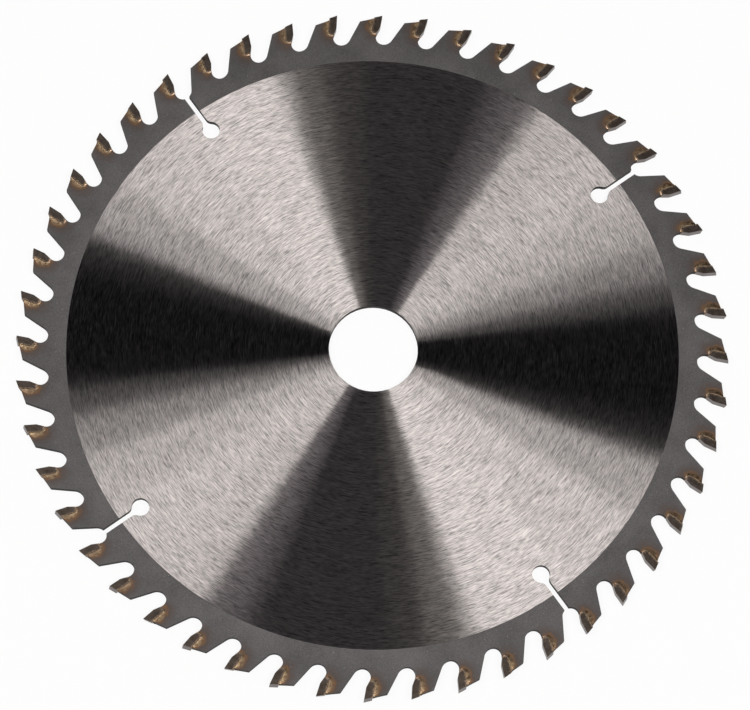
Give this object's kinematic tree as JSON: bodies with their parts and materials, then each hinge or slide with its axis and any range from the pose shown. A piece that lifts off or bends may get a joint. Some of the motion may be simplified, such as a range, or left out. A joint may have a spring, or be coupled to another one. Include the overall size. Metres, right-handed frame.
{
  "type": "circular saw blade",
  "caption": "Flat toothed steel disc with carbide cutting tips, expansion slots and a central arbor bore.",
  "frame": {"origin": "centre of the arbor bore, in the middle of the plate's thickness", "axes": "+Z is the arbor axis, towards the side from which the blade is seen to cut clockwise; +Y runs through one of the four expansion slots, +X through the next"},
  "size_m": [0.16, 0.16, 0.0024],
  "materials": {
    "plate_steel": "circularly ground middle, blasted grey rim",
    "carbide": "ground cemented carbide",
    "braze": "dull golden silver solder"
  },
  "bodies": {
    "root": {"blade_plate": "plate_steel", "tip_01": "carbide", "tip_02": "carbide", "tip_03": "carbide", "tip_04": "carbide", "tip_05": "carbide", "tip_06": "carbide", "tip_07": "carbide", "tip_08": "carbide", "tip_09": "carbide", "tip_10": "carbide", "tip_11": "carbide", "tip_12": "carbide", "tip_13": "carbide", "tip_14": "carbide", "tip_15": "carbide", "tip_16": "carbide", "tip_17": "carbide", "tip_18": "carbide", "tip_19": "carbide", "tip_20": "carbide", "tip_21": "carbide", "tip_22": "carbide", "tip_23": "carbide", "tip_24": "carbide", "tip_25": "carbide", "tip_26": "carbide", "tip_27": "carbide", "tip_28": "carbide", "tip_29": "carbide", "tip_30": "carbide", "tip_31": "carbide", "tip_32": "carbide", "tip_33": "carbide", "tip_34": "carbide", "tip_35": "carbide", "tip_36": "carbide", "tip_37": "carbide", "tip_38": "carbide", "tip_39": "carbide", "tip_40": "carbide", "tip_41": "carbide", "tip_42": "carbide", "tip_43": "carbide", "tip_44": "carbide", "tip_45": "carbide", "tip_46": "carbide", "tip_47": "carbide", "tip_48": "carbide", "braze_beads": "braze"}
  },
  "joints": []
}
